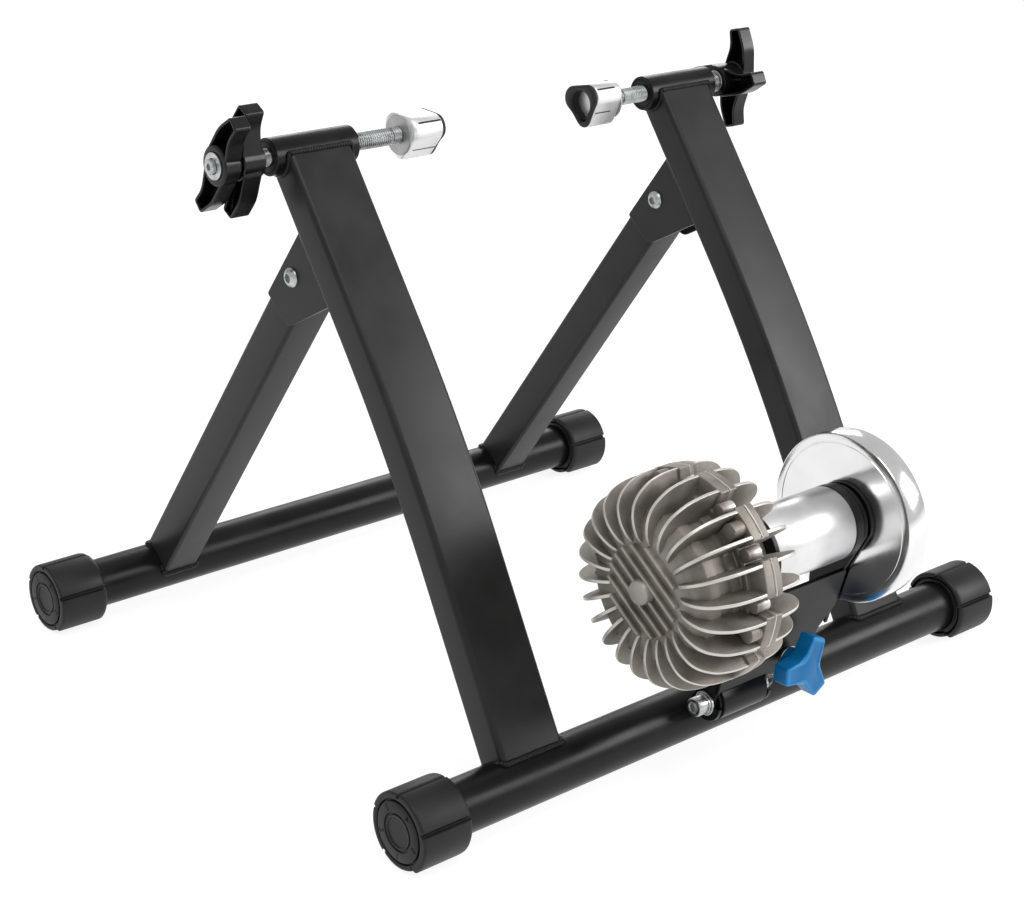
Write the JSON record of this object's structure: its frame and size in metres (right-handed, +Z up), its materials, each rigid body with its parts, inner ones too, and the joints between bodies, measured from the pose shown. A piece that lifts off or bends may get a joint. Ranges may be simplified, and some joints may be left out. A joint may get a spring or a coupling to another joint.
{
  "type": "bike trainer",
  "caption": "Folding steel stand that clamps a bicycle's rear axle, with a finned fluid brake, roller and flywheel on a tilting cradle.",
  "frame": {"origin": "on the floor, under the middle of the part's box", "axes": "+X along the floor tubes to the flywheel side, +Y from the brake to the folding legs, +Z up"},
  "size_m": [0.545, 0.5638, 0.4251],
  "materials": {
    "black_coat": "satin black powder coat",
    "foot_plastic": "matte black",
    "knob_plastic": "matte black",
    "zinc": "bright zinc plate",
    "chrome": "polished",
    "steel": "ground",
    "cast_aluminium": "raw sand-cast grain",
    "liner_rubber": "matte black",
    "blue_plastic": "satin blue"
  },
  "bodies": {
    "stand": {"rear_floor_tube": "black_coat", "left_upright": "black_coat", "right_upright": "black_coat", "left_axle_tube": "black_coat", "right_axle_tube": "black_coat", "thread_bushes": "black_coat", "left_bracket": "black_coat", "right_bracket": "black_coat", "fold_bolts": "zinc", "fold_nuts": "zinc", "fold_washers": "zinc", "pivot_barrel": "black_coat", "pivot_bushes": "knob_plastic", "adjuster_post": "black_coat", "adjuster_bolt": "zinc", "adjuster_spring": "zinc"},
    "rear_left_foot": {"rear_left_foot": "foot_plastic"},
    "rear_right_foot": {"rear_right_foot": "foot_plastic"},
    "front_left_foot": {"front_left_foot": "foot_plastic"},
    "front_right_foot": {"front_right_foot": "foot_plastic"},
    "legs": {"front_floor_tube": "black_coat", "left_strut": "black_coat", "right_strut": "black_coat", "fold_sleeves": "black_coat"},
    "left_cup": {"left_cup": "chrome", "left_cup_liner": "liner_rubber"},
    "right_cup": {"right_cup": "chrome", "right_cup_liner": "liner_rubber"},
    "left_rod": {"left_clamp_rod": "zinc", "left_clamp_knob": "knob_plastic", "left_knob_screw": "zinc"},
    "right_rod": {"right_clamp_rod": "zinc", "right_clamp_knob": "knob_plastic", "right_knob_screw": "zinc"},
    "left_lock_insert": {"left_lock_insert": "zinc"},
    "right_lock_insert": {"right_lock_insert": "zinc"},
    "left_lock_knob": {"left_lock_knob": "knob_plastic"},
    "right_lock_knob": {"right_lock_knob": "knob_plastic"},
    "cradle": {"cradle": "black_coat", "pivot_bolt": "zinc", "pivot_washers": "zinc", "pivot_nut": "zinc", "bearing_cup": "knob_plastic", "roller_bearings": "steel", "housing_front": "cast_aluminium", "housing_rear": "cast_aluminium", "housing_gasket": "liner_rubber", "housing_screws": "zinc", "shaft_seal": "liner_rubber"},
    "rotor": {"roller_shaft": "steel", "roller": "chrome", "flywheel": "chrome", "flywheel_spacer": "steel", "flywheel_nut": "zinc", "impeller": "cast_aluminium"},
    "adjuster_washer": {"adjuster_saddle": "zinc", "adjuster_washer": "zinc"},
    "adjuster_knob": {"adjuster_knob": "blue_plastic", "adjuster_knob_nut": "zinc"}
  },
  "joints": [
    {"name": "legs_fold", "type": "hinge", "parent": "stand", "child": "legs", "pos_m": [0, 0.05443, 0.3049], "axis": [1, 0, 0], "range_deg": [-64, 0]},
    {"name": "left_cup_slide", "type": "slide", "parent": "stand", "child": "left_cup", "axis": [-1, 0, 0], "range_m": [0, 0.04]},
    {"name": "left_rod_turn", "type": "hinge", "parent": "left_cup", "child": "left_rod", "pos_m": [0, 0.06076, 0.38608], "axis": [-1, 0, 0], "range_deg": [-41.14, 8269.71]},
    {"name": "left_lock_slide", "type": "slide", "parent": "stand", "child": "left_lock_insert", "axis": [1, 0, 0], "range_m": [-0.0002, 0.0074]},
    {"name": "left_lock_turn", "type": "hinge", "parent": "left_lock_insert", "child": "left_lock_knob", "pos_m": [0, 0.06076, 0.38608], "axis": [1, 0, 0], "range_deg": [0, 1481.14]},
    {"name": "right_cup_slide", "type": "slide", "parent": "stand", "child": "right_cup", "axis": [1, 0, 0], "range_m": [0, 0.03]},
    {"name": "right_rod_turn", "type": "hinge", "parent": "right_cup", "child": "right_rod", "pos_m": [0, 0.06076, 0.38608], "axis": [1, 0, 0], "range_deg": [-41.14, 6212.57]},
    {"name": "right_lock_slide", "type": "slide", "parent": "stand", "child": "right_lock_insert", "axis": [-1, 0, 0], "range_m": [-0.0002, 0.0099]},
    {"name": "right_lock_turn", "type": "hinge", "parent": "right_lock_insert", "child": "right_lock_knob", "pos_m": [0, 0.06076, 0.38608], "axis": [-1, 0, 0], "range_deg": [0, 1995.43]},
    {"name": "cradle_tilt", "type": "hinge", "parent": "stand", "child": "cradle", "pos_m": [0, -0.19225, 0.04354], "axis": [1, 0, 0], "range_deg": [-6, 6], "deforming": ["adjuster_spring"]},
    {"name": "adjuster_slide", "type": "slide", "parent": "stand", "child": "adjuster_washer", "axis": [0, 1, 0], "range_m": [-0.0034, 0.0034]},
    {"name": "adjuster_turn", "type": "hinge", "parent": "adjuster_washer", "child": "adjuster_knob", "pos_m": [0.0232, -0.21225, 0.0643], "axis": [0, 1, 0], "range_deg": [-960, 960]},
    {"name": "rotor_spin", "type": "hinge", "parent": "cradle", "child": "rotor", "pos_m": [0, -0.21225, 0.1553], "axis": [1, 0, 0], "continuous": true},
    {"name": "rear_left_foot_turn", "type": "hinge", "parent": "stand", "child": "rear_left_foot", "pos_m": [-0.2725, -0.16725, 0.0247], "axis": [1, 0, 0], "continuous": true},
    {"name": "rear_right_foot_turn", "type": "hinge", "parent": "stand", "child": "rear_right_foot", "pos_m": [0.2725, -0.16725, 0.0247], "axis": [1, 0, 0], "continuous": true},
    {"name": "front_left_foot_turn", "type": "hinge", "parent": "legs", "child": "front_left_foot", "pos_m": [-0.2725, 0.25675, 0.0247], "axis": [1, 0, 0], "continuous": true},
    {"name": "front_right_foot_turn", "type": "hinge", "parent": "legs", "child": "front_right_foot", "pos_m": [0.2725, 0.25675, 0.0247], "axis": [1, 0, 0], "continuous": true}
  ],
  "couplings": [
    {"joint": "left_rod_turn", "follows": "left_cup_slide", "rad_per_m": 3590.4},
    {"joint": "right_rod_turn", "follows": "right_cup_slide", "rad_per_m": 3590.4},
    {"joint": "left_lock_slide", "follows": "left_lock_turn", "m_per_rad": 0.00027852},
    {"joint": "right_lock_slide", "follows": "right_lock_turn", "m_per_rad": 0.00027852},
    {"joint": "adjuster_slide", "follows": "cradle_tilt", "m_per_rad": -0.02927},
    {"joint": "adjuster_turn", "follows": "cradle_tilt", "ratio": -147.13}
  ]
}
